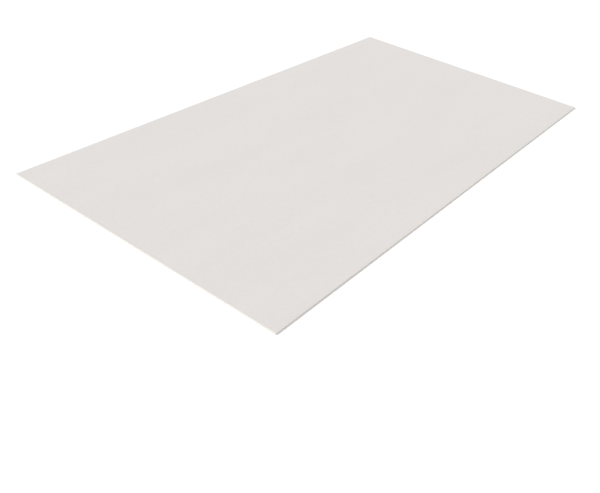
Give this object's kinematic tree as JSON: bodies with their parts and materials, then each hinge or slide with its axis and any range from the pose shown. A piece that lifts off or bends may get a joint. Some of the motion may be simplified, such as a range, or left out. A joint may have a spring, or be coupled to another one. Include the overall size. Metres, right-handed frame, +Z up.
{
  "type": "fibre cement board",
  "caption": "Thin flat rectangular building board of cured fibre cement, with a smooth face, square trimmed sides and eased edges, for lining and cladding walls.",
  "frame": {"origin": "middle of the board's underside, which lies on the floor", "axes": "+X along the length, +Y along the width, +Z up through the thickness, out of the smooth face"},
  "size_m": [2.4, 1.2, 0.006],
  "materials": {
    "fibre_cement": "matt, pale warm grey, smooth sanded face"
  },
  "bodies": {
    "root": {"fibre_cement_board": "fibre_cement"}
  },
  "joints": []
}
